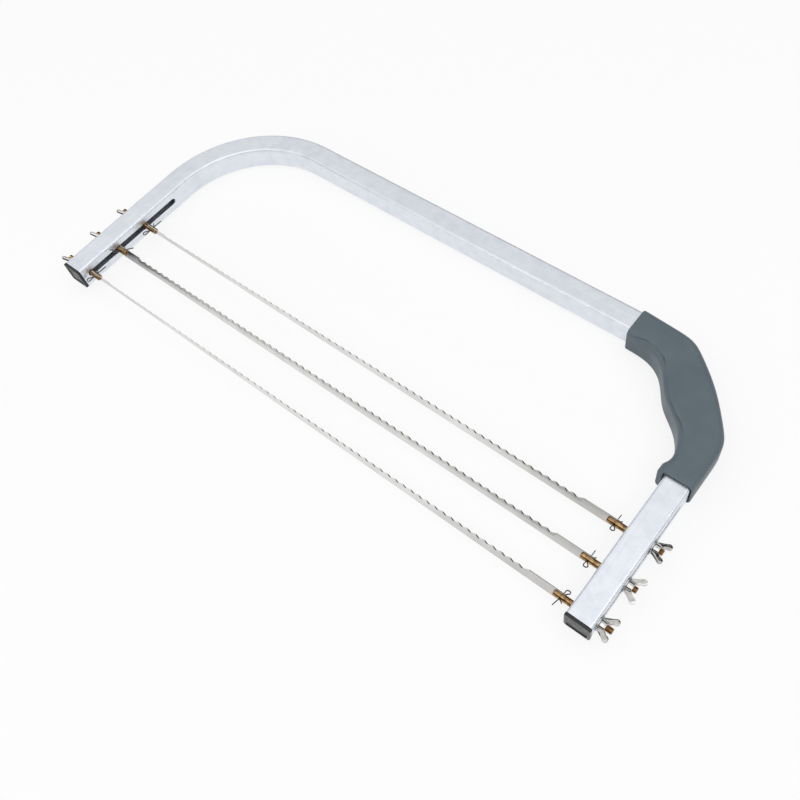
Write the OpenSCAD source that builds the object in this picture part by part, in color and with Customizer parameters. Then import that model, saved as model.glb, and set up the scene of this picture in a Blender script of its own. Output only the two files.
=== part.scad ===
// Adjustable three-blade cake leveler, lying flat with its frame level.
// X runs along the spine, Y from the two feet to the spine, Z up.
// The origin is under the middle of the outline, on the table.

/* [Frame] */
// Outside width of the frame, over both legs
frame_width = 520; // [518:0.5:524]
// Depth of the frame, from the leg tips to the back of the spine
frame_depth = 220; // [218:0.5:224]
// Outside size of the square tube
tube_side = 19; // [18.5:0.1:19.5]
// Wall thickness of the square tube
tube_wall = 1.5; // [1.2:0.1:1.8]
// Rounding of the outer long edges of the tube
tube_round = 2; // [1.6:0.1:2.4]
// Radius of the back of each bend
bend_radius = 99; // [97:0.5:101]
// Distance from the leg tip to the near end of each slot
slot_start = 5.6; // [5.4:0.1:6]
// Distance from the leg tip to the far end of each slot
slot_finish = 105.4; // [104:0.2:106]
// Free space on each side of a stud in its slot
slot_play = 0.15; // [0.1:0.05:0.25]

/* [Handle] */
// Thickness of the sleeve over and under the tube
sleeve_wall = 2.8; // [2.5:0.1:3.2]
// Thickness of the sleeve behind the spine at its mouth
sleeve_back = 1.6; // [1.4:0.1:2]
// Thickness of the sleeve on the outside of the leg
sleeve_outer = 2; // [1.7:0.1:2.4]
// Thickness of the sleeve on the inside of the tube beside the grip
sleeve_inner = 1.8; // [1.6:0.1:2.2]
// Distance of the flats of the knuckle from the back of the bend
knuckle_rise = 3.8; // [3.4:0.1:4.2]
// Extra depth of the grip on the inside of the bend
grip_bulge = 11.3; // [10.5:0.2:12]
// Extra thickness of the inside lip at the mouth on the spine
lead_swell = 3; // [2.6:0.1:3.4]
// Extra thickness of the inside lip at the mouth on the leg
tail_swell = 4.5; // [4:0.1:5]
// Rounding of the long edges of the grip
grip_round = 5; // [4.4:0.1:5.4]
// Length of straight sleeve past the bend, down the leg
sleeve_tail = 6.5; // [5.5:0.5:8]
// Length of the straight sleeve past the bend, along the spine
sleeve_lead = 1.4; // [1.4:0.2:3]
// Chamfer at both mouths of the sleeve
mouth_chamfer = 0.9; // [0.6:0.1:1]

/* [End caps] */
// Thickness of the flange that closes the tube end
cap_flange = 2.4; // [2:0.1:3]
// Amount that the flange stands out past the tube on each side
cap_lip = 0.3; // [0.2:0.05:0.5]
// Length of the plug inside the tube
cap_plug = 4.2; // [3.6:0.1:4.6]
// Width of the rim round the sunk middle of the flange
cap_rim = 2; // [1.6:0.1:2.6]
// Depth of the sunk middle of the flange
cap_sink = 0.7; // [0.4:0.1:1]

/* [Blades] */
// Distance from the leg tips to the first blade
first_level = 8.5; // [8.4:0.1:8.8]
// Distance between one blade and the next
level_pitch = 31; // [30.6:0.2:32]
// Width of the blade strip
blade_width = 7; // [6.4:0.2:7.4]
// Thickness of the blade strip
blade_thick = 0.6; // [0.5:0.05:0.7]
// Depth of the ground edge of a blade
edge_depth = 1.4; // [1:0.1:1.8]
// Thickness left at the ground edge
edge_land = 0.16; // [0.12:0.02:0.24]
// Length of one scallop of the ground edge
scallop_pitch = 7; // [6.5:0.25:8]
// Depth of the scallops
scallop_depth = 1.2; // [0.8:0.1:1.4]
// Distance that the scallops stand back from the plain edge
edge_step = 0.6; // [0.4:0.1:0.8]
// Length of plain strip between a right stud and the scallops
plain_right = 21; // [19:0.5:23]
// Least length of plain strip at a left stud
plain_left = 12.5; // [11:0.5:14]
// Lean of the outer blades at their left ends, from level
lean_left = 92; // [86:1:96]
// Lean of the middle blade at its left end, from level
lean_middle = 60; // [54:1:66]
// Lean of all blades at their right ends, from level
lean_right = 60; // [54:1:66]
// Distance between the tip of a stud and the blade end in its slit
blade_tuck = 8.6; // [8:0.1:8.8]

/* [Studs] */
// Diameter of a stud
stud_diameter = 5; // [4.8:0.1:5.2]
// Length of a right stud on the inside of the leg
stud_inside = 15; // [14:0.5:16]
// Length of the lower left stud on the inside of the leg
low_inside = 10.5; // [10:0.5:12]
// Length of the middle left stud on the inside of the leg
mid_inside = 9.5; // [9.5:0.5:11]
// Length of the upper left stud on the inside of the leg
top_inside = 13; // [12:0.5:14]
// Length of the lower right stud past the outside of the leg
low_outside = 10; // [9:0.2:10.6]
// Length of the other right studs past the outside of the leg
high_outside = 8; // [7.4:0.2:9]
// Length of the sawn slit in a stud
slit_length = 11.8; // [11.6:0.1:12.4]
// Free space on each side of the blade in the slit
slit_play = 0.1; // [0.05:0.01:0.15]
// Bevel at both ends of a stud
stud_bevel = 0.5; // [0.3:0.05:0.6]

/* [Pins] */
// Distance from the tip of a stud to its pin
pin_inset = 6; // [5:0.5:7]
// Diameter of the pin shank, both legs together
pin_diameter = 1.3; // [1.1:0.1:1.4]
// Diameter of one leg of the pin wire
pin_wire = 0.9; // [0.8:0.05:0.95]
// Free space round the shank in its hole
pin_play = 0.08; // [0.05:0.01:0.12]
// Middle radius of the eye of the pin
eye_radius = 1.6; // [1.4:0.1:1.8]
// Length of the neck between the stud and the eye
pin_neck = 2.2; // [1.8:0.2:2.6]
// Length of the long leg past the stud
long_leg = 7.5; // [6.5:0.5:8]
// Length of the short leg past the stud
short_leg = 3.6; // [3:0.2:3.8]

/* [Washers and wing nuts] */
// Outside diameter of a washer
washer_diameter = 11; // [10:0.5:12]
// Thickness of a washer
washer_thick = 1; // [0.8:0.1:1.2]
// Free space round a stud in its washer
washer_play = 0.2; // [0.15:0.05:0.3]
// Free space round a stud in its wing nut
nut_play = 0.05; // [0.03:0.01:0.09]
// Outside diameter of the hub of a wing nut
hub_diameter = 8; // [7.6:0.2:8.4]
// Length of the hub
hub_length = 4.2; // [3.8:0.1:4.6]
// Distance from the nut's axis to the outside of its wings
wing_reach = 9.2; // [8.8:0.1:9.6]
// Length of the wings along the stud
wing_length = 9.8; // [9.4:0.1:10]
// Thickness of a wing
wing_thick = 2.6; // [2.2:0.1:3.2]
// Rounding of the wing tips
wing_round = 2.1; // [1.8:0.1:2.4]

/* [Hidden] */
$fn = 64;
half_width = frame_width / 2;
half_side = tube_side / 2;
bore_side = tube_side - 2 * tube_wall;
bore_round = tube_round - tube_wall + 0.3;
spine_half = half_width - bend_radius;
leg_length = frame_depth - bend_radius;
inner_face = half_width - tube_side;
stud_radius = stud_diameter / 2;
slot_width = stud_diameter + 2 * slot_play;
stud_tip = inner_face - stud_inside;
left_outside = washer_thick + wing_length;
scallop_right = stud_tip - plain_right;
scallop_room = scallop_right + inner_face - top_inside - plain_left;
scallop_count = floor(scallop_room / scallop_pitch);
scallop_left = scallop_right - scallop_count * scallop_pitch;
grind_run = 0.8;
level_low = first_level;
level_mid = first_level + level_pitch;
level_top = first_level + 2 * level_pitch;
grip_height = tube_side + 2 * sleeve_wall;
cap_side = tube_side + 2 * cap_lip;
shank_half = stud_radius + 0.6;
cut = 1;

// Handle outline, as reaches from the middle of the bend
mid_x = half_width - bend_radius;
mid_y = frame_depth - bend_radius;
reach_back = bend_radius + sleeve_back;
reach_outer = bend_radius + sleeve_outer;
reach_knuckle = bend_radius + knuckle_rise;
reach_inner = bend_radius - tube_side - sleeve_inner;
knuckle_turns = [39, 53];
back_turn = 4.3;
bulge_turn = 46.5;
bulge_spread = 21;
lead_spread = 18;
tail_turn = 92;
tail_spread = 5;
corner_power = 46;
turn_step = 3;
corner_steps = 5;

function cosine_floor(a) = max(0.05, cos(a));

function reach_terms(t) = [
    reach_back / cosine_floor(t - back_turn),
    reach_knuckle / cosine_floor(t - knuckle_turns[0]),
    reach_knuckle / cosine_floor(t - knuckle_turns[1]),
    reach_outer / cosine_floor(t - 90)
];

function power_sum(v, p) = pow(v[0], -p) + pow(v[1], -p) + pow(v[2], -p) + pow(v[3], -p);

function outer_reach(t) = pow(power_sum(reach_terms(t), corner_power), -1 / corner_power);

function bump(t, middle, spread) = exp(-pow((t - middle) / spread, 2));

function inner_reach(t) = reach_inner - grip_bulge * bump(t, bulge_turn, bulge_spread)
    - lead_swell * bump(t, 0, lead_spread) - tail_swell * bump(t, tail_turn, tail_spread);

// Points round one section of the grip, as distance out and height
function corner_points(cu, cz, r, from) = [
    for (k = [0:corner_steps])
    [cu + r * cos(from + 90 * k / corner_steps), cz + r * sin(from + 90 * k / corner_steps)]
];

function grip_section(near, far, low, high, r) = concat(
    corner_points(far - r, low + r, r, -90),
    corner_points(far - r, high - r, r, 0),
    corner_points(near + r, high - r, r, 90),
    corner_points(near + r, low + r, r, 180)
);

function sleeve_section(t, inset) = grip_section(
    inner_reach(t) + inset, outer_reach(t) - inset,
    -sleeve_wall + inset, tube_side + sleeve_wall - inset, grip_round - inset
);

function lead_ring(s, inset) = [
    for (p = sleeve_section(0, inset)) [mid_x - s, mid_y + p[0], p[1]]
];

function turn_ring(t) = [
    for (p = sleeve_section(t, 0)) [mid_x + p[0] * sin(t), mid_y + p[0] * cos(t), p[1]]
];

function tail_ring(s, inset) = [
    for (p = sleeve_section(90, inset)) [mid_x + p[0], mid_y - s, p[1]]
];

sleeve_rings = concat(
    [lead_ring(sleeve_lead, mouth_chamfer), lead_ring(sleeve_lead - mouth_chamfer, 0)],
    [for (t = [0:turn_step:90]) turn_ring(t)],
    [tail_ring(sleeve_tail - mouth_chamfer, 0), tail_ring(sleeve_tail, mouth_chamfer)]
);

grip_top_y = max([for (ring = sleeve_rings) for (p = ring) p[1]]);
centre_y = (grip_top_y - cap_flange) / 2;

// One long skin through a row of rings with equal numbers of points
function flat(rings) = [for (ring = rings) for (p = ring) p];

function skin_faces(count, n) = concat(
    [[for (i = [n - 1:-1:0]) i]],
    [[for (i = [0:n - 1]) (count - 1) * n + i]],
    [for (k = [0:count - 2]) for (i = [0:n - 1]) [k * n + i, k * n + (i + 1) % n, (k + 1) * n + i]],
    [for (k = [0:count - 2]) for (i = [0:n - 1])
        [k * n + (i + 1) % n, (k + 1) * n + (i + 1) % n, (k + 1) * n + i]]
);

module skin(rings) {
    polyhedron(points = flat(rings), faces = skin_faces(len(rings), len(rings[0])), convexity = 8);
}

// Puts a piece drawn round the leg tips onto the table, centred
module on_table() {
    translate([0, -centre_y, sleeve_wall]) children();
}

module right_side() {
    mirror([1, 0, 0]) children();
}

// Square with rounded corners, drawn from plain shapes
module round_square(side, r) {
    square([side, side - 2 * r], center = true);
    square([side - 2 * r, side], center = true);
    for (sx = [-1, 1]) {
        for (sy = [-1, 1]) {
            translate([sx * (side / 2 - r), sy * (side / 2 - r)]) circle(r = r);
        }
    }
}

// Path of the tube: a leg, a bend, the spine, a bend and a leg
module tube_path(side, r, tips) {
    for (s = [-1, 1]) {
        translate([s * (half_width - half_side), -tips, half_side])
            rotate([-90, 0, 0]) linear_extrude(leg_length + tips) round_square(side, r);
    }
    for (m = [0, 1]) {
        mirror([m, 0, 0]) translate([spine_half, leg_length, half_side])
            rotate_extrude(angle = 90, $fn = 128)
                translate([bend_radius - half_side, 0]) round_square(side, r);
    }
    translate([-spine_half, frame_depth - half_side, half_side])
        rotate([90, 0, 90]) linear_extrude(2 * spine_half) round_square(side, r);
}

// Long slot through both walls of one leg
module leg_slot() {
    slot_length = slot_finish - slot_start - slot_width;
    translate([-half_width - cut, slot_start + slot_width / 2, half_side - slot_width / 2])
        cube([tube_side + 2 * cut, slot_length, slot_width]);
    for (y = [slot_start + slot_width / 2, slot_finish - slot_width / 2]) {
        translate([-half_width - cut, y, half_side]) rotate([0, 90, 0])
            cylinder(d = slot_width, h = tube_side + 2 * cut);
    }
}

module frame_tube() {
    color("#D9DDE4") on_table() difference() {
        tube_path(tube_side, tube_round, 0);
        tube_path(bore_side, bore_round, cut);
        leg_slot();
        right_side() leg_slot();
    }
}

module handle_grip() {
    color("#66737A") on_table() difference() {
        skin(sleeve_rings);
        tube_path(tube_side, tube_round, 0);
    }
}

// Push-in cap, drawn in the left leg
module end_cap() {
    translate([-half_width + half_side, 0, half_side]) rotate([-90, 0, 0]) difference() {
        union() {
            translate([0, 0, -cap_flange]) linear_extrude(cap_flange)
                round_square(cap_side, tube_round + cap_lip);
            translate([0, 0, -0.01]) linear_extrude(cap_plug + 0.01) round_square(bore_side, bore_round);
        }
        translate([0, 0, 1]) linear_extrude(cap_plug) round_square(bore_side - 2 * cap_rim, bore_round);
        translate([0, 0, -cap_flange - cut]) linear_extrude(cap_sink + cut)
            round_square(cap_side - 2 * cap_rim, tube_round);
    }
}

module end_cap_left() {
    color("#2A2C2E") on_table() end_cap();
}

module end_cap_right() {
    color("#2A2C2E") on_table() right_side() end_cap();
}

// One section of a blade: flat strip, its edge cut back and ground
function blade_section(x, lean, back, land) = [
    for (p = [
        [-blade_width / 2, -blade_thick / 2],
        [blade_width / 2 - edge_depth - back, -blade_thick / 2],
        [blade_width / 2 - back, -land / 2],
        [blade_width / 2 - back, land / 2],
        [blade_width / 2 - edge_depth - back, blade_thick / 2],
        [-blade_width / 2, blade_thick / 2]
    ])
    [x, p[0] * cos(lean) - p[1] * sin(lean), p[0] * sin(lean) + p[1] * cos(lean)]
];

// One scallop is hollow between two points
scallop_cuts = [0.05, 0.55, 1, 0.55];
cut_count = len(scallop_cuts);

function plain_section(x, lean) = blade_section(x, lean, 0, blade_thick);

function twist(x, from, to) = from + (to - from) * (x - scallop_left) / (scallop_right - scallop_left);

function ground_section(x, from, to, share) = blade_section(
    x, twist(x, from, to), edge_step + share * scallop_depth, edge_land
);

function blade_rings(left_tip, from, to) = concat(
    [plain_section(-left_tip - blade_tuck, from), plain_section(scallop_left - grind_run, from)],
    [for (k = [0:scallop_count * cut_count])
        ground_section(scallop_left + k * scallop_pitch / cut_count, from, to, scallop_cuts[k % cut_count])],
    [plain_section(scallop_right + grind_run, to), plain_section(stud_tip + blade_tuck, to)]
);

// Hole or shank of a pin, square to the flat of a blade end
module pin_line(x, lean, r, half) {
    translate([x, 0, 0]) rotate([lean, 0, 0]) cylinder(r = r, h = 2 * half, center = true, $fn = 32);
}

module blade(level, from, to, inside) {
    left_tip = inner_face - inside;
    translate([0, level, half_side]) difference() {
        skin(blade_rings(left_tip, from, to));
        pin_line(-left_tip - pin_inset, from, pin_diameter / 2 + pin_play, blade_thick);
        pin_line(stud_tip + pin_inset, to, pin_diameter / 2 + pin_play, blade_thick);
    }
}

module blade_lower() {
    color("#A9A9A4") on_table() blade(level_low, lean_left, lean_right, low_inside);
}

module blade_middle() {
    color("#A9A9A4") on_table() blade(level_mid, lean_middle, lean_right, mid_inside);
}

module blade_upper() {
    color("#A9A9A4") on_table() blade(level_top, lean_left, lean_right, top_inside);
}

// Slit and drilled stud, drawn in the left leg
module stud(level, lean, inside, outside) {
    length = inside + tube_side + outside;
    slit = blade_thick + 2 * slit_play;
    translate([-half_width - outside, level, half_side]) difference() {
        rotate([0, 90, 0]) union() {
            cylinder(r1 = stud_radius - stud_bevel, r2 = stud_radius, h = stud_bevel);
            translate([0, 0, stud_bevel]) cylinder(r = stud_radius, h = length - 2 * stud_bevel);
            translate([0, 0, length - stud_bevel])
                cylinder(r1 = stud_radius, r2 = stud_radius - stud_bevel, h = stud_bevel);
        }
        translate([length - slit_length, 0, 0]) rotate([lean, 0, 0])
            translate([0, -stud_diameter, -slit / 2]) cube([slit_length + cut, 2 * stud_diameter, slit]);
        pin_line(length - pin_inset, lean, pin_diameter / 2 + pin_play, stud_diameter);
    }
}

module stud_lower_left() {
    color("#B98B5E") on_table() stud(level_low, lean_left, low_inside, left_outside);
}

module stud_lower_right() {
    color("#B98B5E") on_table() right_side() stud(level_low, lean_right, stud_inside, low_outside);
}

module stud_middle_left() {
    color("#B98B5E") on_table() stud(level_mid, lean_middle, mid_inside, left_outside);
}

module stud_middle_right() {
    color("#B98B5E") on_table() right_side() stud(level_mid, lean_right, stud_inside, high_outside);
}

module stud_upper_left() {
    color("#B98B5E") on_table() stud(level_top, lean_left, top_inside, left_outside);
}

module stud_upper_right() {
    color("#B98B5E") on_table() right_side() stud(level_top, lean_right, stud_inside, high_outside);
}

// Split pin: an eye, a shank of two wires and two spread legs
module split_pin(level, lean, inside, flip) {
    long_splay = 4;
    short_splay = 48;
    eye_lean = 15;
    leg_radius = pin_wire / 2;
    translate([inside - inner_face - pin_inset, level, half_side]) rotate([lean, 0, 0])
        rotate([flip ? 180 : 0, 0, 0]) {
            cylinder(d = pin_diameter, h = 2 * shank_half, center = true, $fn = 32);
            translate([0, 0, shank_half]) rotate([0, -eye_lean, 0]) {
                translate([0, 0, -leg_radius])
                    cylinder(d = pin_diameter, h = pin_neck + leg_radius, $fn = 32);
                translate([0, 0, pin_neck + eye_radius]) rotate([90, 0, 0])
                    rotate_extrude($fn = 48) translate([eye_radius, 0]) circle(r = leg_radius, $fn = 24);
            }
            translate([0, 0, leg_radius - shank_half]) rotate([0, 180 - long_splay, 0])
                cylinder(r = leg_radius, h = long_leg, $fn = 24);
            translate([0, 0, leg_radius - shank_half]) rotate([0, 180 + short_splay, 0])
                cylinder(r = leg_radius, h = short_leg, $fn = 24);
        }
}

module pin_lower_left() {
    color("#3A3B3D") on_table() split_pin(level_low, lean_left, low_inside, false);
}

module pin_lower_right() {
    color("#3A3B3D") on_table() right_side() split_pin(level_low, lean_right, stud_inside, true);
}

module pin_middle_left() {
    color("#3A3B3D") on_table() split_pin(level_mid, lean_middle, mid_inside, false);
}

module pin_middle_right() {
    color("#3A3B3D") on_table() right_side() split_pin(level_mid, lean_right, stud_inside, false);
}

module pin_upper_left() {
    color("#3A3B3D") on_table() split_pin(level_top, lean_left, top_inside, false);
}

module pin_upper_right() {
    color("#3A3B3D") on_table() right_side() split_pin(level_top, lean_right, stud_inside, false);
}

// Plain washer, drawn on the outside of the left leg
module washer(level) {
    translate([-half_width - washer_thick, level, half_side]) rotate([0, 90, 0]) difference() {
        cylinder(d = washer_diameter, h = washer_thick);
        translate([0, 0, -cut]) cylinder(r = stud_radius + washer_play, h = washer_thick + 2 * cut);
    }
}

module washer_lower_left() {
    color("#C4C6C8") on_table() washer(level_low);
}

module washer_lower_right() {
    color("#C4C6C8") on_table() right_side() washer(level_low);
}

module washer_middle_left() {
    color("#C4C6C8") on_table() washer(level_mid);
}

module washer_middle_right() {
    color("#C4C6C8") on_table() right_side() washer(level_mid);
}

module washer_upper_left() {
    color("#C4C6C8") on_table() washer(level_top);
}

module washer_upper_right() {
    color("#C4C6C8") on_table() right_side() washer(level_top);
}

// Side outline of one wing: along the stud, then outward
module wing_outline() {
    polygon([
        [0, hub_diameter / 2 - 1.6],
        [0, hub_diameter / 2 + 0.6],
        [wing_length - wing_round - 1.2, wing_reach],
        [wing_length - wing_round, wing_reach],
        [wing_length, wing_reach - wing_round],
        [wing_length, wing_reach - 2 * wing_round],
        [hub_length - 0.6, hub_diameter / 2 - 1.6]
    ]);
    translate([wing_length - wing_round, wing_reach - wing_round]) circle(r = wing_round);
}

// Wing nut, drawn on the left with its wings turned
module wing_nut(level, turn) {
    translate([-half_width - washer_thick, level, half_side])
        rotate([turn, 0, 0]) right_side() difference() {
        union() {
            rotate([0, 90, 0]) cylinder(d = hub_diameter, h = hub_length);
            for (side = [0, 180]) {
                rotate([side, 0, 0]) translate([0, 0, -wing_thick / 2])
                    linear_extrude(wing_thick) wing_outline();
            }
        }
        translate([-cut, 0, 0]) rotate([0, 90, 0])
            cylinder(r = stud_radius + nut_play, h = wing_length + 2 * cut);
    }
}

turn_lower = -12;
turn_middle = 6;
turn_upper = -20;
turn_left = -48;
turn_left_middle = -54;

module wing_nut_lower_left() {
    color("#C9CBCD") on_table() wing_nut(level_low, turn_left);
}

module wing_nut_lower_right() {
    color("#C9CBCD") on_table() right_side() wing_nut(level_low, turn_lower);
}

module wing_nut_middle_left() {
    color("#C9CBCD") on_table() wing_nut(level_mid, turn_left_middle);
}

module wing_nut_middle_right() {
    color("#C9CBCD") on_table() right_side() wing_nut(level_mid, turn_middle);
}

module wing_nut_upper_left() {
    color("#C9CBCD") on_table() wing_nut(level_top, turn_left);
}

module wing_nut_upper_right() {
    color("#C9CBCD") on_table() right_side() wing_nut(level_top, turn_upper);
}

frame_tube();
handle_grip();
end_cap_left();
end_cap_right();
blade_lower();
blade_middle();
blade_upper();
stud_lower_left();
stud_lower_right();
stud_middle_left();
stud_middle_right();
stud_upper_left();
stud_upper_right();
pin_lower_left();
pin_lower_right();
pin_middle_left();
pin_middle_right();
pin_upper_left();
pin_upper_right();
washer_lower_left();
washer_lower_right();
washer_middle_left();
washer_middle_right();
washer_upper_left();
washer_upper_right();
wing_nut_lower_left();
wing_nut_lower_right();
wing_nut_middle_left();
wing_nut_middle_right();
wing_nut_upper_left();
wing_nut_upper_right();
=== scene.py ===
from math import atan2, cos, exp, pi, radians, sin

import bmesh
import bpy
from mathutils import Matrix, Vector


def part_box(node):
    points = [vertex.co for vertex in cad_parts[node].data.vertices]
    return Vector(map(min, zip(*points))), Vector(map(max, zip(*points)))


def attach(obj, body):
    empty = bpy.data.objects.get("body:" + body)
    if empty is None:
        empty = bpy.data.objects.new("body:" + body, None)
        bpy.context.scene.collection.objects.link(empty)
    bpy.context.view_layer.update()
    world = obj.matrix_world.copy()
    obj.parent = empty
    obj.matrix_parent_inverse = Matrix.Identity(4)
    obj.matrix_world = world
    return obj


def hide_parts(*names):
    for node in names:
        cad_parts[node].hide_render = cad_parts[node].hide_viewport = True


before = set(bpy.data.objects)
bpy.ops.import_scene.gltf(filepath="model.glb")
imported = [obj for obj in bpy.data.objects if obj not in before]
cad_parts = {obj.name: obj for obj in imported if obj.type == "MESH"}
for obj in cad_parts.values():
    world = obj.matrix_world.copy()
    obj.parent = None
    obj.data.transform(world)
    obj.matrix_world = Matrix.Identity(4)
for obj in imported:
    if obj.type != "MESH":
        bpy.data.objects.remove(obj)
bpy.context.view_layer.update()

# Frame: one length of 19 mm square aluminium tube with rounded edges, bent cold into a horseshoe.
# A long slot is milled through both walls of each leg, and its rims are deburred. Clear anodised.
tube_low, tube_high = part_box("frame_tube")
half_width = tube_high.x * 1000
frame_depth, bend_radius = 220.0, 99.0
tube_side, tube_wall, tube_round, bore_round = 19.0, 1.5, 2.0, 0.8
slot_start, slot_finish, slot_width, slot_rim = 5.6, 105.4, 5.3, 0.3
half_side = tube_side / 2
bore_side = tube_side - 2 * tube_wall
inner_face = half_width - tube_side
bend_x, bend_y = half_width - bend_radius, frame_depth - bend_radius
# Where the tube's rings stand along a leg and along the spine, how many steps go round a bend, and how far
# the support points stand from the rounded edges
leg_places, spine_places = (0, 2, 20, 60, 100, 118), (-120, -60, 0, 60, 120)
bend_steps, edge_lead = 48, 0.3


def place(x, y, z):
    """Point in metres, from mm: x from the middle, y from the leg tips, z from the tube's underside."""
    return Vector((x / 1000, tube_low.y + y / 1000, tube_low.z + z / 1000))


def show(name, mesh):
    """Puts a mesh in the scene as a piece at the origin."""
    piece = bpy.data.objects.new(name, mesh)
    bpy.context.scene.collection.objects.link(piece)
    return piece


def face_outwards(mesh):
    """Turns the faces of a closed mesh outwards."""
    work = bmesh.new()
    work.from_mesh(mesh)
    bmesh.ops.recalc_face_normals(work, faces=work.faces)
    work.to_mesh(mesh)
    work.free()


def skin(name, rings, wrap=False):
    """Closed mesh through rings of points. Its map holds metres along the rings and round them."""
    count, size = len(rings), len(rings[0])
    middles = [sum(ring, Vector()) / size for ring in rings]
    along, around = [0.0], [0.0]
    for k in range(count):
        along.append(along[-1] + (middles[(k + 1) % count] - middles[k]).length)
    for i in range(size):
        around.append(around[-1] + (rings[0][(i + 1) % size] - rings[0][i]).length)
    faces, spots = [], []
    for k in range(count if wrap else count - 1):
        near, far = k * size, (k + 1) % count * size
        for i in range(size):
            j = (i + 1) % size
            faces.append((near + i, near + j, far + j, far + i))
            spots += [(along[k], around[i]), (along[k], around[i + 1]),
                      (along[k + 1], around[i + 1]), (along[k + 1], around[i])]
    if not wrap:
        faces.append(tuple(reversed(range(size))))
        faces.append(tuple(range((count - 1) * size, count * size)))
        spots += [(along[0], around[i]) for i in reversed(range(size))]
        spots += [(along[-2], around[i]) for i in range(size)]
    mesh = bpy.data.meshes.new(name)
    mesh.from_pydata([p for ring in rings for p in ring], [], faces)
    layer = mesh.uv_layers.new(name="run")
    layer.data.foreach_set("uv", [v for spot in spots for v in spot])
    face_outwards(mesh)
    return show(name, mesh)


def modify(piece, kind, **settings):
    change = piece.modifiers.new(kind.lower(), kind)
    for key, value in settings.items():
        setattr(change, key, value)
    return change


def combine(piece, others, operation="DIFFERENCE"):
    """Cuts other pieces away from a piece, or joins them to it."""
    for other in others:
        modify(piece, "BOOLEAN", object=other, operation=operation, solver="EXACT")
        other.hide_render = True


def settle(piece, crease, drop=()):
    """Bakes the modifiers of a piece into a plain mesh, smooth but for its edges, and drops the cutters."""
    graph = bpy.context.evaluated_depsgraph_get()
    baked = bpy.data.meshes.new_from_object(piece.evaluated_get(graph))
    old = piece.data
    piece.modifiers.clear()
    piece.data = baked
    baked.name = piece.name
    bpy.data.meshes.remove(old)
    baked.polygons.foreach_set("use_smooth", [True] * len(baked.polygons))
    baked.set_sharp_from_angle(angle=radians(crease))
    for cutter in drop:
        bpy.data.objects.remove(cutter)


def finish_piece(piece, material, body, solid):
    """Gives a finished piece its material, the body it rides on and the solid it stands for."""
    piece.data.materials.clear()
    piece.data.materials.append(material)
    piece.data.polygons.foreach_set("material_index", [0] * len(piece.data.polygons))
    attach(piece, body)
    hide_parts(solid)


def paint(code):
    """Linear colour of an sRGB hex code."""
    parts = [int(code[i:i + 2], 16) / 255 for i in (1, 3, 5)]
    return (*[c / 12.92 if c <= 0.04045 else ((c + 0.055) / 1.055) ** 2.4 for c in parts], 1.0)


def join(made, feeds):
    """Sets sockets of a node to values, or links them to other sockets or to the first output of a node."""
    for key, value in feeds.items():
        if isinstance(value, bpy.types.Node):
            value = next(output for output in value.outputs if output.enabled)
        if isinstance(value, bpy.types.NodeSocket):
            made.id_data.links.new(value, made.inputs[key])
        else:
            made.inputs[key].default_value = value


def node(tree, kind, feeds=None, stops=(), **settings):
    """Adds one node: its settings, what feeds its sockets, and a ramp's stops, each a place and a hex code
    or a grey level."""
    made = tree.nodes.new(kind)
    for key, value in settings.items():
        setattr(made, key, value)
    join(made, feeds or {})
    if stops:
        band = made.color_ramp.elements
        while len(band) < len(stops):
            band.new(0.5)
        for element, (where, colour) in zip(band, stops):
            element.position = where
            element.color = paint(colour) if isinstance(colour, str) else (colour, colour, colour, 1)
    return made


def new_material(name, settings):
    """A material, its tree, its shader with the values that are the same all over, and the point shaded."""
    material = bpy.data.materials.new(name)
    material.use_nodes = True
    tree = material.node_tree
    surface = tree.nodes["Principled BSDF"]
    join(surface, settings)
    return material, tree, surface, node(tree, "ShaderNodeTexCoord").outputs["Object"]


def feed(surface, patterns, bump=None):
    """Feeds sockets of a shader, each from a pattern, or from a pattern with the stops of its ramp.
    A bump is a pattern, its strength and its depth in metres."""
    tree = surface.id_data
    for key, source in patterns.items():
        if isinstance(source, tuple):
            source = node(tree, "ShaderNodeValToRGB", {"Fac": source[0]}, source[1])
        join(surface, {key: source})
    if bump:
        relief = node(tree, "ShaderNodeBump", dict(zip(("Height", "Strength", "Distance"), bump)))
        join(surface, {"Normal": relief})


def square_section(side, rounding, lead, steps=6):
    """Rounded square as (out, up) from its middle, with a support point beside each end of a corner."""
    half = side / 2
    points = []
    for turn in range(4):
        a, b = cos(radians(90 * turn)), sin(radians(90 * turn))
        corner = [(half, half - rounding - lead)]
        corner += [(half - rounding + rounding * cos(radians(90 * k / steps)),
                    half - rounding + rounding * sin(radians(90 * k / steps)))
                   for k in range(steps + 1)]
        corner += [(half - rounding - lead, half)]
        points += [(x * a - y * b, x * b + y * a) for x, y in corner]
    return points


def bend_stations(side, start):
    """Middle line of one bend as (point, outward) pairs, a quarter turn from the angle where it starts."""
    reach = bend_radius - half_side
    turns = [radians(start - 90 * k / bend_steps) for k in range(bend_steps + 1)]
    return [((side * bend_x + reach * cos(a), bend_y + reach * sin(a)), (cos(a), sin(a))) for a in turns]


def tube_rings(section):
    """Rings of the tube from left tip to right tip. Its section is (out, up) from the middle line."""
    stations = [((-half_width + half_side, y), (-1, 0)) for y in leg_places] + bend_stations(-1, 180)
    stations += [((x, frame_depth - half_side), (0, 1)) for x in spine_places] + bend_stations(1, 90)
    stations += [((half_width - half_side, y), (1, 0)) for y in reversed(leg_places)]
    return [[place(x + a * out[0], y + a * out[1], half_side + b) for a, b in section]
            for (x, y), out in stations]


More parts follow.
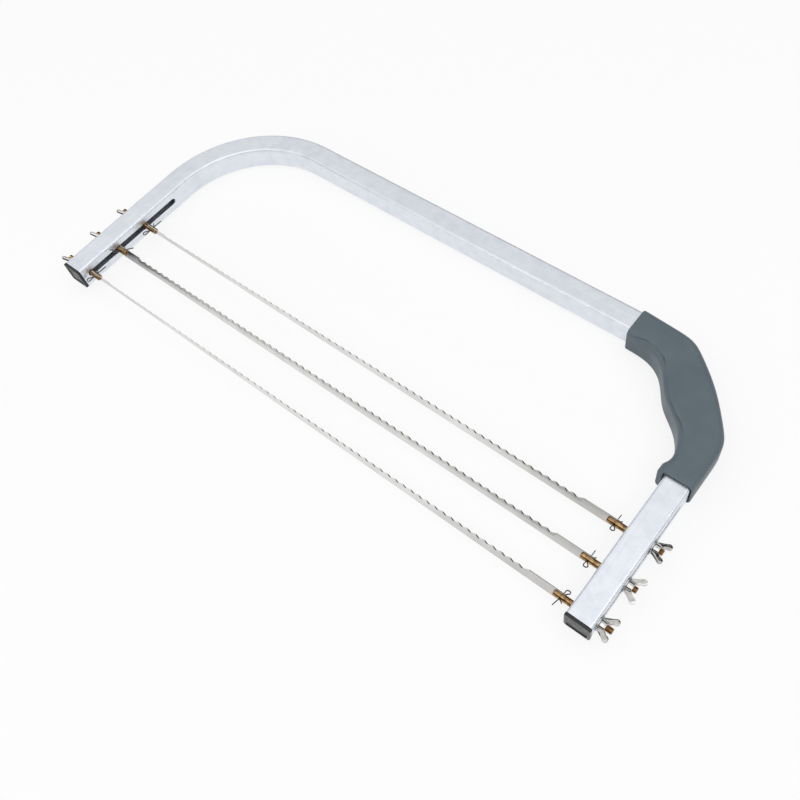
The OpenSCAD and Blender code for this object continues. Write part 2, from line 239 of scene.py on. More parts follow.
def slot_cutter(side):
    """Long hole with round ends through both walls of one leg, wider at its deburred rims."""
    past = 1.0
    rings = []
    for x, wider in ((inner_face - past, slot_rim + past), (inner_face + slot_rim, 0),
                     (half_width - slot_rim, 0), (half_width + past, slot_rim + past)):
        radius = slot_width / 2 + wider
        ring = []
        for middle, start in ((slot_finish - slot_width / 2, 0), (slot_start + slot_width / 2, 180)):
            for k in range(17):
                a = radians(start + 180 * k / 16) - pi / 2
                ring.append(place(side * x, middle + radius * cos(a), half_side + radius * sin(a)))
        rings.append(ring)
    return skin("slot_cutter", rings)


outside = tube_rings(square_section(tube_side, tube_round, edge_lead))
bore = tube_rings(square_section(bore_side, bore_round, edge_lead))
frame_tube = skin("frame_tube_skin", outside + bore[::-1], wrap=True)
cutters = [slot_cutter(-1), slot_cutter(1)]
combine(frame_tube, cutters)
settle(frame_tube, 40, cutters)

# Clear anodised aluminium: a pale, faintly blue metal with a soft sheen. The die leaves fine lines along
# the tube, drawn 0.8 mm apart so that they show, and the film has a faint mottle about 9 mm across. The
# bore, which the map reaches after the length of the outside, is dull and carries painted shade.
outer_run = (2 * bend_x + 2 * bend_y + pi * (bend_radius - half_side)) / 1000
aluminium, tree, surface, spot = new_material("clear_anodised_aluminium", {"Metallic": 1.0})
run = node(tree, "ShaderNodeUVMap", uv_map="run")
lines = node(tree, "ShaderNodeMapping", {"Vector": run, "Scale": (12, 1250, 1)})
die_lines = node(tree, "ShaderNodeTexNoise", {"Vector": lines, "Scale": 1.0, "Detail": 3.0})
mottle = node(tree, "ShaderNodeTexNoise", {"Vector": spot, "Scale": 110.0, "Detail": 4.0, "Roughness": 0.6})
length_run = node(tree, "ShaderNodeSeparateXYZ", {"Vector": run}).outputs["X"]
# The bore takes painted shade, a darker grey, and a higher roughness
inside = node(tree, "ShaderNodeMapRange", {
    "Value": length_run, "From Min": outer_run + 0.0005, "From Max": outer_run + 0.002})
tone = node(tree, "ShaderNodeValToRGB", {"Fac": mottle},
            [(0.3, "#E0E4EC"), (0.55, "#E8ECF3"), (0.75, "#EDF0F5")])
streak = node(tree, "ShaderNodeValToRGB", {"Fac": die_lines}, [(0.25, 0.94), (0.7, 1.0)])
film = node(tree, "ShaderNodeMix", {"Factor": 1.0, "A": tone, "B": streak}, data_type="RGBA",
            blend_type="MULTIPLY")
sheen = node(tree, "ShaderNodeValToRGB", {"Fac": die_lines}, [(0.2, 0.5), (0.8, 0.36)])
# Painted shade: the bore's colour is the darker grey #A4A9AF
feed(surface, {
    "Base Color": node(tree, "ShaderNodeMix", {"Factor": inside, "A": film, "B": paint("#A4A9AF")},
                       data_type="RGBA"),
    "Roughness": node(tree, "ShaderNodeMix", {"Factor": inside, "A": sheen, "B": 0.8},
                      data_type="FLOAT")}, (die_lines, 0.15, 0.00002))
finish_piece(frame_tube, aluminium, "frame", "frame_tube")

# Handle: a soft-cornered sleeve of matte grey plastic, moulded in one piece and pushed over the
# right bend. It has a flat knuckle outside, a bulge for the palm inside and a thick lip at each mouth.
sleeve_wall, sleeve_back, sleeve_outer, sleeve_inner = 2.8, 1.6, 2.0, 1.8
sleeve_round, sleeve_lead, sleeve_tail = 5.0, 1.4, 6.5
# The outside: how far the knuckle stands out, where its flats face, and how sharp its corners are
knuckle_rise, knuckle_turns, back_turn, corner_power = 3.8, (39, 53), 4.3, 46
# The inside: how high each swell stands, its turn from the back and its spread, for the palm and two lips
swells = ((11.3, 46.5, 21), (3.0, 0, 18), (4.5, 92, 5))
# Crease at the upper inner corner: turn, place along the corner, depth and reach of its outer flank, in mm
crease_line = [
    (0, -2.0, 0.0, 0.6), (2, -1.9, 0.65, 0.6), (5.5, -1.1, 1.05, 0.7), (10, 0.8, 1.1, 1.0),
    (16, 1.5, 0.9, 1.5), (23, 2.2, 1.05, 1.3), (26, 2.2, 1.2, 0.7), (29, 1.0, 0.5, 0.6),
    (33, -0.2, 0.25, 0.6), (44, 0.6, 0.4, 0.6), (51, -0.4, 0.9, 0.7), (59, -0.7, 1.1, 0.8),
    (66, 1.0, 1.1, 0.8), (70, 1.5, 0.7, 0.6), (75, 1.3, 0.15, 0.6), (84, 0.4, 0.0, 0.6),
    (90, 0.0, 0.0, 0.6)]
crease_inner_flank, crease_zone, close_step, close_count = 0.5, 4.2, 0.45, 9
# The mouths: their rounded rim, and the passage for the tube, tight but for its last 3 mm on the leg
mouth_round, mouth_steps = 0.9, 4
mouth_play, mouth_lift, mouth_depth, mouth_slope = 1.0, 0.8, 3.0, 0.4
passage_play, back_play, back_slope = 0.04, 0.3, 0.6


def outer_reach(turn):
    """Distance from the middle of the bend to the sleeve's outside, at a turn from back (0) to leg (90)."""
    flats = [(bend_radius + sleeve_back, back_turn), (bend_radius + knuckle_rise, knuckle_turns[0]),
             (bend_radius + knuckle_rise, knuckle_turns[1]), (bend_radius + sleeve_outer, 90)]
    reaches = [reach / max(0.05, cos(radians(turn - facing))) for reach, facing in flats]
    return sum(reach ** -corner_power for reach in reaches) ** (-1 / corner_power)


def inner_reach(turn):
    """Distance from the middle of the bend to the inside of the sleeve."""
    return bend_radius - tube_side - sleeve_inner - sum(
        height * exp(-(((turn - middle) / spread) ** 2)) for height, middle, spread in swells)


def rounded_section(near, far, low, high, radius):
    """Section of the sleeve or of its passage as (out, up), with close points at its upper inner corner."""
    points = []
    corners = ((far - radius, low + radius, -90, 8), (far - radius, high - radius, 0, 8),
               (near + radius, high - radius, 90, 18), (near + radius, low + radius, 180, 8))
    for u, w, start, steps in corners:
        if start == 90:
            points += [(u + close_step * k, high) for k in range(close_count, 0, -1)]
        for k in range(steps + 1):
            a = radians(start + 90 * k / steps)
            points.append((u + radius * cos(a), w + radius * sin(a)))
    return points


def sleeve_section(turn, inset):
    """Section of the sleeve at a turn of the bend, drawn in by an inset, with the crease pressed in."""
    near, far = inner_reach(turn) + inset, outer_reach(turn) - inset
    high, radius = tube_side + sleeve_wall - inset, sleeve_round - inset
    start, finish = next(pair for pair in zip(crease_line, crease_line[1:]) if pair[1][0] >= turn)
    share = (turn - start[0]) / (finish[0] - start[0])
    _, middle, depth, flank = [a + (b - a) * share for a, b in zip(start, finish)]
    points = []
    for u, w in rounded_section(near, far, -sleeve_wall + inset, high, radius):
        if w > high - radius and u < near + radius + crease_zone:
            over = u - near - radius
            a = atan2(w - high + radius, over) if over < 0 else pi / 2
            along = (0.75 * pi - a) * radius + max(0.0, over)
            wide = flank if along > middle else crease_inner_flank
            push = depth * exp(-(((along - middle) / wide) ** 2))
            u, w = u - push * cos(a), w - push * sin(a)
        points.append((u, w))
    return points


def sleeve_place(turn, past, section):
    """Points of a section at a turn of the bend, slipped past its start (turn 0) or its end (turn 90)."""
    a = radians(turn)
    slip = (-past, 0) if turn == 0 else (0, -past)
    return [place(bend_x + u * sin(a) + slip[0], bend_y + u * cos(a) + slip[1], w) for u, w in section]


def passage_section(play, lift=0.0):
    """Section of the passage for the tube: play all round, and more above the tube and inside the bend."""
    middle = bend_radius - half_side
    return rounded_section(middle - half_side - play - lift, middle + half_side + play, -play,
                           tube_side + play + lift, tube_round + play)


rim = [(mouth_round * (1 - sin(pi / 2 * k / mouth_steps)),
        mouth_round * (1 - cos(pi / 2 * k / mouth_steps))) for k in range(mouth_steps + 1)]
rings = [sleeve_place(0, sleeve_lead - dip, sleeve_section(0, inset)) for inset, dip in rim]
rings += [sleeve_place(turn, 0, sleeve_section(turn, 0)) for turn in range(0, 91)]
rings += [sleeve_place(90, sleeve_tail - dip, sleeve_section(90, inset)) for inset, dip in reversed(rim)]
rings += [sleeve_place(90, sleeve_tail, passage_section(mouth_play, mouth_lift)),
          sleeve_place(90, sleeve_tail - mouth_depth, passage_section(mouth_play - 0.1, mouth_lift - 0.1)),
          sleeve_place(90, sleeve_tail - mouth_depth - mouth_slope, passage_section(passage_play))]
rings += [sleeve_place(turn, 0, passage_section(passage_play)) for turn in range(90, -1, -2)]
rings += [sleeve_place(0, sleeve_lead - back_slope, passage_section(passage_play)),
          sleeve_place(0, sleeve_lead, passage_section(back_play))]
handle = skin("handle_grip_skin", rings, wrap=True)
settle(handle, 50)

# Matte moulded plastic, ABS or PP: slate grey with no gloss. The mould was spark-eroded, which leaves an
# even grain, drawn 0.5 mm across so that it shows, and hands have polished it a little unevenly.
grip_plastic, tree, surface, spot = new_material("matte_moulded_plastic", {"IOR": 1.5})
grain = node(tree, "ShaderNodeTexNoise", {"Vector": spot, "Scale": 2000.0, "Detail": 2.0})
cloud = node(tree, "ShaderNodeTexNoise", {"Vector": spot, "Scale": 40.0, "Detail": 3.0})
feed(surface, {
    "Base Color": (cloud, [(0.3, "#525F67"), (0.7, "#5B6870")]),
    "Roughness": (cloud, [(0.3, 0.55), (0.7, 0.44)])}, (grain, 0.35, 0.00005))
finish_piece(handle, grip_plastic, "frame", "handle_grip")

# End caps: black glossy plastic, injection moulded and pushed into the leg tips, where they are the
# feet of the tool. A raised rim runs round a sunk middle.
cap_flange, cap_lip, cap_plug, cap_rim, cap_sink, cap_soft = 2.4, 0.3, 4.2, 2.0, 0.7, 0.5
cap_side, plug_side = tube_side + 2 * cap_lip, bore_side - 0.1
sunk_side = cap_side - 2 * cap_rim
# Profile of a cap from the plug's tip to the sunk middle: side, height up the leg, rounding of corners
cap_profile = [(plug_side - 0.8, cap_plug, 0.5), (plug_side, cap_plug - 0.5, 0.8), (plug_side, 0, 0.8),
               (cap_side - 0.2, 0, tube_round), (cap_side, -0.15, tube_round + cap_lip)]
for k in range(5):
    a = pi / 2 * k / 4
    inset = cap_soft * (1 - cos(a))
    cap_profile.append((cap_side - 2 * inset, -cap_flange + cap_soft * (1 - sin(a)),
                        tube_round + cap_lip - inset))
cap_profile += [(sunk_side + 0.3, -cap_flange, 1.4), (sunk_side, -cap_flange + 0.15, 1.3),
                (sunk_side - 0.5, -cap_flange + cap_sink - 0.1, 1.1),
                (sunk_side - 0.9, -cap_flange + cap_sink, 0.9)]

# Black gloss plastic, polypropylene: the polished mould gives it a clear reflection, and handling dulls it
# in patches.
cap_plastic, tree, surface, spot = new_material("gloss_black_plastic", {"IOR": 1.49})
scuff = node(tree, "ShaderNodeTexNoise", {"Vector": spot, "Scale": 420.0, "Detail": 5.0, "Roughness": 0.65})
feed(surface, {
    "Base Color": (scuff, [(0.3, "#131416"), (0.75, "#232527")]),
    "Roughness": (scuff, [(0.35, 0.2), (0.7, 0.42)])})

sides = {"left": -1, "right": 1}
for side_name, side in sides.items():
    middle = side * (half_width - half_side)
    cap = skin("end_cap_skin_" + side_name, [
        [place(middle + a, y, half_side + b) for a, b in square_section(across, rounding, 0.2)]
        for across, y, rounding in cap_profile])
    settle(cap, 40)
    finish_piece(cap, cap_plastic, "frame", "end_cap_" + side_name)

# Blades: thin strips of stainless steel. One edge is ground into shallow hollow scallops, and the
# plain ends go into the slit studs. Each strip takes a slow twist between its two ends.
levels = {"lower": 8.5, "middle": 39.5, "upper": 70.5}
left_insides = {"lower": 10.5, "middle": 9.5, "upper": 13.0}
right_inside, blade_tuck = 15.0, 8.6
# Turn of each blade about its length at the left and at the right end, in degrees
leans = {"lower": (92.0, 60.0), "middle": (60.0, 60.0), "upper": (92.0, 60.0)}
# The last three sizes: how far in from the ends of the scalloped run the steel is darker, and how
# strong the painted shade on the falling flank of each scallop is at the left and at the right end
blade_sizes = {
    "Width": 0.007, "Thickness": 0.0006, "Edge Depth": 0.0014, "Edge Land": 0.00016, "Edge Step": 0.0006,
    "Scallop Pitch": 0.007, "Scallop Depth": 0.0012, "Scallop Left": -0.215, "Scallop Right": 0.205,
    "Steps Per Scallop": 14.0, "Run In": 0.0008, "Fade Run": 0.09, "Flank Shade Left": 0.25, "Flank Shade Right": 1.4}


def stud_tip(level, side):
    """Place of the inside tip of a stud along the blade."""
    return side * (inner_face - (left_insides[level] if side < 0 else right_inside))


def new_tree(name, sizes, coat):
    """Empty tree of nodes that grows a piece from named sizes and one material."""
    tree = bpy.data.node_groups.new(name, "GeometryNodeTree")
    tree.interface.new_socket("Geometry", in_out="INPUT", socket_type="NodeSocketGeometry")
    tree.interface.new_socket("Geometry", in_out="OUTPUT", socket_type="NodeSocketGeometry")
    for size in sizes:
        tree.interface.new_socket(size, in_out="INPUT", socket_type="NodeSocketFloat")
    tree.interface.new_socket(coat, in_out="INPUT", socket_type="NodeSocketMaterial")
    return tree, dict(node(tree, "NodeGroupInput").outputs.items())


def work_out(tree, values, steps, held):
    """Works through the steps of a shape, each a name, an operation and its terms, and keeps every result.
    A term is a number or the name of an earlier value. The held ones stay between 0 and 1."""
    for name, operation, *terms in steps:
        feeds = {k: values.get(term, term) for k, term in enumerate(terms)}
        values[name] = node(tree, "ShaderNodeMath", feeds, operation=operation, use_clamp=name in held)


def end_tree(tree, geometry, values, coat):
    """Moves the points to the place that was worked out for them, and ends the tree in one coated mesh."""
    moved = node(tree, "ShaderNodeCombineXYZ", {axis.upper(): values[axis] for axis in "xyz"})
    shaped = node(tree, "GeometryNodeSetPosition", {"Geometry": geometry, "Position": moved})
    whole = node(tree, "GeometryNodeRealizeInstances", {"Geometry": shaped})
    coated = node(tree, "GeometryNodeSetMaterial", {"Geometry": whole, "Material": values[coat]})
    node(tree, "NodeGroupOutput", {0: coated})


def blade_tree():
    """Strip with a scalloped, ground edge and a twist, all from its sizes."""
    tree, values = new_tree("scalloped_strip", [
        *blade_sizes, "Left End", "Right End", "Lean Left", "Lean Right", "Height Y", "Height Z"], "Steel")
    position = node(tree, "GeometryNodeInputPosition")
    spot = node(tree, "ShaderNodeSeparateXYZ", {"Vector": position}).outputs
    # A point's place along, its row (back edge, flat, start of the grind, ground edge) and its face
    values.update(strip_x=spot["X"], row=spot["Y"], face=spot["Z"])
    work_out(tree, values, [
        ("length", "SUBTRACT", "Right End", "Left End"),
        ("both_ends", "ADD", "Right End", "Left End"),
        ("middle", "MULTIPLY", "both_ends", 0.5),
        ("all_steps", "MULTIPLY", "length", "Steps Per Scallop"),
        ("steps", "DIVIDE", "all_steps", "Scallop Pitch"),
        ("whole_steps", "CEIL", "steps"),
        ("x", "ADD", "strip_x", "middle"),
        # One scallop is a round hollow between two round points
        ("from_left", "SUBTRACT", "x", "Scallop Left"),
        ("scallops", "DIVIDE", "from_left", "Scallop Pitch"),
        ("in_scallop", "FRACT", "scallops"),
        ("phase", "MULTIPLY", "in_scallop", 2 * pi),
        ("wave", "COSINE", "phase"),
        ("fall", "SUBTRACT", 1.0, "wave"),
        ("hollow", "MULTIPLY", "fall", 0.5),
        # 1 in the scalloped run and 0 in the plain ends
        ("to_right", "SUBTRACT", "Scallop Right", "x"),
        ("spare", "MINIMUM", "from_left", "to_right"),
        ("eased", "ADD", "spare", "Run In"),
        ("run", "DIVIDE", "eased", "Run In"),
        ("dip", "MULTIPLY_ADD", "hollow", "Scallop Depth", "Edge Step"),
        ("back", "MULTIPLY", "dip", "run"),
        # The lines that the rows of points follow across the strip
        ("is_edge", "GREATER_THAN", "row", 1.0),
        ("past_flat", "GREATER_THAN", "row", 0.0),
        ("before_edge", "LESS_THAN", "row", 1.0),
        ("is_grind", "MULTIPLY", "past_flat", "before_edge"),
        ("is_flat", "LESS_THAN", "row", 0.0),
        ("half", "MULTIPLY", "Width", 0.5),
        ("edge_line", "SUBTRACT", "half", "back"),
        ("grind_line", "SUBTRACT", "edge_line", "Edge Depth"),
        ("flat_row", "MULTIPLY", "is_flat", "row"),
        ("row_gap", "DIVIDE", "half", 1.5),
        ("flat_part", "MULTIPLY", "flat_row", "row_gap"),
        ("edge_part", "MULTIPLY", "is_edge", "edge_line"),
        ("grind_part", "MULTIPLY", "is_grind", "grind_line"),
        ("ground_part", "ADD", "edge_part", "grind_part"),
        ("across", "ADD", "ground_part", "flat_part"),
        # The grind thins the edge to its land
        ("ground", "MULTIPLY", "is_edge", "run"),
        ("land", "DIVIDE", "Edge Land", "Thickness"),
        ("taken", "SUBTRACT", 1.0, "land"),
        ("thinned", "MULTIPLY", "ground", "taken"),
        ("thin", "SUBTRACT", 1.0, "thinned"),
        ("flat_out", "MULTIPLY", "face", "Thickness"),
        ("out", "MULTIPLY", "flat_out", "thin"),
        # The twist runs evenly along the scalloped run
        ("scallop_run", "SUBTRACT", "Scallop Right", "Scallop Left"),
        ("share", "DIVIDE", "from_left", "scallop_run"),
        ("twist", "SUBTRACT", "Lean Right", "Lean Left"),
        ("lean", "MULTIPLY_ADD", "share", "twist", "Lean Left"),
        ("cosine", "COSINE", "lean"),
        ("sine", "SINE", "lean"),
        ("across_y", "MULTIPLY", "across", "cosine"),
        ("out_y", "MULTIPLY", "out", "sine"),
        ("strip_y", "SUBTRACT", "across_y", "out_y"),
        ("y", "ADD", "strip_y", "Height Y"),
        ("across_z", "MULTIPLY", "across", "sine"),
        ("out_z", "MULTIPLY", "out", "cosine"),
        ("strip_z", "ADD", "across_z", "out_z"),
        ("z", "ADD", "strip_z", "Height Z"),
        # The falling flank of each scallop, and the strength of the painted shade on it there
        ("slope", "SINE", "phase"),
        ("falling", "MULTIPLY", "ground", "slope"),
        ("flank_shade_gain", "SUBTRACT", "Flank Shade Right", "Flank Shade Left"),
        ("flank_shade_strength", "MULTIPLY_ADD", "share", "flank_shade_gain", "Flank Shade Left"),
        ("flank", "MULTIPLY", "falling", "flank_shade_strength"),
        ("in_from_ends", "DIVIDE", "spare", "Fade Run"),
    ], ("run", "share", "falling", "flank", "in_from_ends"))
    size = node(tree, "ShaderNodeCombineXYZ", {"X": values["length"], "Y": 3.0, "Z": 1.0})
    strip = node(tree, "GeometryNodeMeshCube", {
        "Size": size, "Vertices X": values["whole_steps"], "Vertices Y": 4, "Vertices Z": 2})
    # Each point keeps how far it is ground; the steel reads the painted shade on its flank and how far
    # it stands in from the ends of the scalloped run
    for name in ("ground", "flank", "in_from_ends"):
        strip = node(tree, "GeometryNodeStoreNamedAttribute", {
            "Geometry": strip, "Name": name, "Value": values[name]})
    end_tree(tree, strip, values, "Steel")
    return tree


def grow(name, tree, inputs):
    """Makes a piece from a tree of nodes and its named inputs."""
    piece = show(name, bpy.data.meshes.new(name))
    change = modify(piece, "NODES", node_group=tree)
    for item in tree.interface.items_tree:
        if item.in_out == "INPUT" and item.name in inputs:
            change[item.identifier] = inputs[item.name]
    return piece


# Ground stainless steel: a grey metal, brushed lengthways by the grinding belt, with lines drawn 0.3 mm
# apart so that they show. The colour is darker towards the ends of the scalloped run and brighter in
# the middle, and the falling flank of each scallop is painted dark as painted shade.
stainless, tree, surface, spot = new_material("ground_stainless_steel", {"Metallic": 1.0})
drawn = node(tree, "ShaderNodeMapping", {"Vector": spot, "Scale": (60, 3300, 3300)})
belt = node(tree, "ShaderNodeTexNoise", {"Vector": drawn, "Scale": 1.0, "Detail": 2.0})
patch = node(tree, "ShaderNodeTexNoise", {"Vector": spot, "Scale": 60.0, "Detail": 3.0})
in_from_ends = node(tree, "ShaderNodeAttribute", attribute_name="in_from_ends").outputs["Fac"]
flank = node(tree, "ShaderNodeAttribute", attribute_name="flank").outputs["Fac"]
dull, bright = [node(tree, "ShaderNodeValToRGB", {"Fac": patch}, stops) for stops in (
    [(0.3, "#C2C1BF"), (0.7, "#CFCECC")], [(0.3, "#D6D6D4"), (0.7, "#E6E6E4")])]
flats = node(tree, "ShaderNodeMix", {"Factor": in_from_ends, "A": dull, "B": bright}, data_type="RGBA")
# Painted shade: the falling flank of each scallop is darkened towards #3E3D3C
flank_shade = node(tree, "ShaderNodeValToRGB", {"Fac": flank}, [(0.12, 0.0), (0.6, 1.0)])
feed(surface, {
    "Base Color": node(tree, "ShaderNodeMix", {"Factor": flank_shade, "A": flats, "B": paint("#3E3D3C")},
                       data_type="RGBA"),
    "Roughness": (belt, [(0.2, 0.27), (0.8, 0.15)])}, (belt, 0.2, 0.00002))

strip_tree = blade_tree()
for level, height in levels.items():
    middle = place(0, height, half_side)
    blade = grow("blade_skin_" + level, strip_tree, blade_sizes | {
        "Left End": (stud_tip(level, -1) - blade_tuck) / 1000,
        "Right End": (stud_tip(level, 1) + blade_tuck) / 1000,
        "Lean Left": radians(leans[level][0]), "Lean Right": radians(leans[level][1]),
        "Height Y": middle.y, "Height Z": middle.z, "Steel": stainless})
    settle(blade, 14)
    finish_piece(blade, stainless, level + "_blade_set", "blade_" + level)

# Studs: 5 mm brass rod, turned and bevelled. The inside end is sawn for the blade and drilled for
# the split pin, and the outside end has a rolled thread for the wing nut.
stud_radius = 2.5
right_outsides = {"lower": 10.0, "middle": 8.0, "upper": 8.0}
left_outside = 10.8
thread_tail = 3.0
slit_length, slit_width = 11.8, 0.8
pin_inset, pin_hole = 6.0, 0.73
cutter_width = 8.0
stud_sizes = {"Radius": stud_radius / 1000, "Bevel": 0.0005, "Thread Pitch": 0.0008,
              "Thread Depth": 0.00042, "Ring Step": 0.0001, "Deepest Cut": 0.0006}
# Each end of a blade: level, name, height up the legs, side and lean
ends = [(level, f"{level}_{side_name}", height, side, radians(leans[level][0 if side < 0 else 1]))
        for level, height in levels.items() for side_name, side in sides.items()]


def rod_tree():
    """Rod along X with bevelled ends and a thread that runs in from its outer end."""
    tree, values = new_tree("threaded_rod", [
        *stud_sizes, "Length", "Thread Start", "Outer End X", "Height Y", "Height Z", "Side"], "Brass")
    position = node(tree, "GeometryNodeInputPosition")
    spot = node(tree, "ShaderNodeSeparateXYZ", {"Vector": position}).outputs
    values.update(round_x=spot["X"], round_y=spot["Y"], rod_z=spot["Z"])
    work_out(tree, values, [
        ("ring_gaps", "DIVIDE", "Length", "Ring Step"),
        ("rings", "CEIL", "ring_gaps"),
        ("half_length", "MULTIPLY", "Length", 0.5),
        ("depth", "ADD", "rod_z", "half_length"),
        # The groove of the thread, a V with a flat crest, which winds round the rod
        ("angle", "ARCTAN2", "round_y", "round_x"),
        ("turn", "DIVIDE", "angle", 2 * pi),
        ("pitches", "DIVIDE", "depth", "Thread Pitch"),
        ("wound", "SUBTRACT", "pitches", "turn"),
        ("above_zero", "ADD", "wound", 8.0),
        ("phase", "FRACT", "above_zero"),
        ("centred", "MULTIPLY_ADD", "phase", 2.0, -1.0),
        ("vee", "ABSOLUTE", "centred"),
        ("groove", "MULTIPLY", "vee", 1.25),
        ("thread_left", "SUBTRACT", "Thread Start", "depth"),
        ("started", "DIVIDE", "thread_left", "Thread Pitch"),
        ("threaded", "MULTIPLY", "groove", "started"),
        ("cut", "MULTIPLY", "threaded", "Thread Depth"),
        # Bevels at both ends, with the thread and the bevel together no deeper than the deepest cut
        ("other_end", "SUBTRACT", "Length", "depth"),
        ("end_gap", "MINIMUM", "depth", "other_end"),
        ("bevel_left", "SUBTRACT", "Bevel", "end_gap"),
        ("bevel", "MAXIMUM", "bevel_left", 0.0),
        ("thread_radius", "SUBTRACT", "Radius", "cut"),
        ("end_radius", "SUBTRACT", "thread_radius", "bevel"),
        ("least_radius", "SUBTRACT", "Radius", "Deepest Cut"),
        ("radius", "MAXIMUM", "end_radius", "least_radius"),
        ("y", "MULTIPLY_ADD", "round_x", "radius", "Height Y"),
        ("z", "MULTIPLY_ADD", "round_y", "radius", "Height Z"),
        ("inwards", "MULTIPLY", "Side", "depth"),
        ("x", "SUBTRACT", "Outer End X", "inwards"),
    ], ("groove", "started"))
    rod = node(tree, "GeometryNodeMeshCylinder", {
        "Vertices": 40, "Side Segments": values["rings"], "Radius": 1.0, "Depth": values["Length"]})
    end_tree(tree, rod, values, "Brass")
    return tree


def show_work(name, work):
    """Ends a mesh that is in the making and puts it in the scene."""
    mesh = bpy.data.meshes.new(name)
    work.to_mesh(mesh)
    work.free()
    return show(name, mesh)


def stud_cutter(tool, x, height, lean):
    """Saw for the slit, or drill for the pin, at its place in a stud and square to the blade."""
    work = bmesh.new()
    if tool == "saw":
        bmesh.ops.create_cube(work, size=1)
        bmesh.ops.scale(work, vec=[size / 1000 for size in (slit_length + 1, cutter_width, slit_width)],
                        verts=work.verts)
    else:
        bmesh.ops.create_cone(work, cap_ends=True, segments=24, depth=cutter_width / 1000,
                              radius1=pin_hole / 1000, radius2=pin_hole / 1000)
    bmesh.ops.rotate(work, matrix=Matrix.Rotation(lean, 3, "X"), verts=work.verts)
    bmesh.ops.translate(work, vec=place(x, height, half_side), verts=work.verts)
    return show_work("stud_cutter", work)


# Brass, bright turned: a warm yellow-brown metal. The lathe leaves rings 0.25 mm apart, and the metal has
# tarnished to a darker brown in patches.
brass, tree, surface, spot = new_material("turned_brass", {"Metallic": 1.0})
turned = node(tree, "ShaderNodeMapping", {"Vector": spot, "Scale": (4000, 300, 300)})
lathe = node(tree, "ShaderNodeTexNoise", {"Vector": turned, "Scale": 1.0, "Detail": 2.0})
patch = node(tree, "ShaderNodeTexNoise", {"Vector": spot, "Scale": 450.0, "Detail": 4.0})
feed(surface, {
    "Base Color": (patch, [(0.3, "#60472F"), (0.5, "#957650"), (0.75, "#C9A87E")]),
    "Roughness": (lathe, [(0.2, 0.16), (0.8, 0.08)])}, (lathe, 0.3, 0.00002))

thread_tree = rod_tree()
for level, end, height, side, lean in ends:
    middle = place(0, height, half_side)
    tip = stud_tip(level, side)
    outside = left_outside if side < 0 else right_outsides[level]
    stud = grow("stud_skin_" + end, thread_tree, stud_sizes | {
        "Length": (half_width + outside - abs(tip)) / 1000,
        "Thread Start": (outside + thread_tail) / 1000,
        "Outer End X": side * (half_width + outside) / 1000, "Side": float(side),
        "Height Y": middle.y, "Height Z": middle.z, "Brass": brass})
    cutters = [stud_cutter("saw", tip + side * (slit_length / 2 - 0.5), height, lean),
               stud_cutter("drill", tip + side * pin_inset, height, lean)]
    combine(stud, cutters)
    settle(stud, 32, cutters)
    face_outwards(stud.data)
    finish_piece(stud, brass, level + "_blade_set", "stud_" + end)

# Split pins: one half-round steel wire, folded into an eye with its two flats together. It goes
# through the stud and the blade, and its legs, one longer than the other, are spread behind.
wire_thick, wire_wide, wire_taper, wire_sides = 0.7, 1.0, 0.55, 12
eye_radius, eye_half_turn, eye_steps, eye_lean, pin_neck = 1.6, 128, 20, 17.0, 2.2
# Length, splay in degrees and side of each leg. It starts inside the stud and bends over its first 1.2 mm
long_leg, short_leg = (8.3, 4.0, 1), (3.6, 48.0, -1)
leg_steps, leg_tuck, leg_bend = 8, 0.4, 1.2
shank_half, shank_steps = stud_radius + 0.6, 4


def pin_path():
    """Middle line of the wire in the pin's plane, as (along the pin, sideways), from leg tip to leg tip."""
    offset = wire_thick / 2
    root = -shank_half + leg_tuck

    def leg(length, splay, sign):
        reaches = [length * (1 - k / leg_steps) for k in range(leg_steps + 1)]
        bends = [radians(splay) * min(1.0, reach / leg_bend) for reach in reaches]
        return [(root - reach * cos(bend), sign * (offset + reach * sin(bend)))
                for reach, bend in zip(reaches, bends)]

    def tilt(u, w):
        a = radians(eye_lean)
        over = u - shank_half
        return shank_half + over * cos(a) + w * sin(a), w * cos(a) - over * sin(a)

    shank = [root + (shank_half - root) * k / shank_steps for k in range(1, shank_steps + 1)]
    middle = shank_half + pin_neck + eye_radius
    turns = [radians(eye_half_turn - 2 * eye_half_turn * k / eye_steps) for k in range(eye_steps + 1)]
    eye = [tilt(middle + eye_radius * cos(a), eye_radius * sin(a)) for a in turns]
    return (leg(*long_leg) + [(u, offset) for u in shank] + eye + [(u, -offset) for u in reversed(shank)]
            + leg(*short_leg)[::-1])


def wire_rings(path, to_space):
    """Rings of a flattened wire, swept along a flat path."""
    rings = []
    for i, (u, w) in enumerate(path):
        before, after = path[max(0, i - 1)], path[min(len(path) - 1, i + 1)]
        heading = Vector((after[0] - before[0], after[1] - before[1])).normalized()
        side = Vector((-heading.y, heading.x))
        taper = wire_taper if i in (0, len(path) - 1) else 1.0
        ring = []
        for k in range(wire_sides):
            a = 2 * pi * k / wire_sides
            reach = wire_thick / 2 * taper * cos(a)
            out = wire_wide / 2 * taper * sin(a)
            ring.append(to_space(u + side.x * reach, w + side.y * reach, out))
        rings.append(ring)
    return rings


# Dark oiled spring wire: almost black iron-grey metal with a satin drawn surface, and a trace of brown
# in patches.
pin_steel, tree, surface, spot = new_material("oiled_spring_wire", {"Metallic": 1.0})
patch = node(tree, "ShaderNodeTexNoise", {"Vector": spot, "Scale": 700.0, "Detail": 4.0})
feed(surface, {
    "Base Color": (patch, [(0.3, "#45403B"), (0.7, "#68696C")]),
    "Roughness": (patch, [(0.3, 0.5), (0.7, 0.34)])})

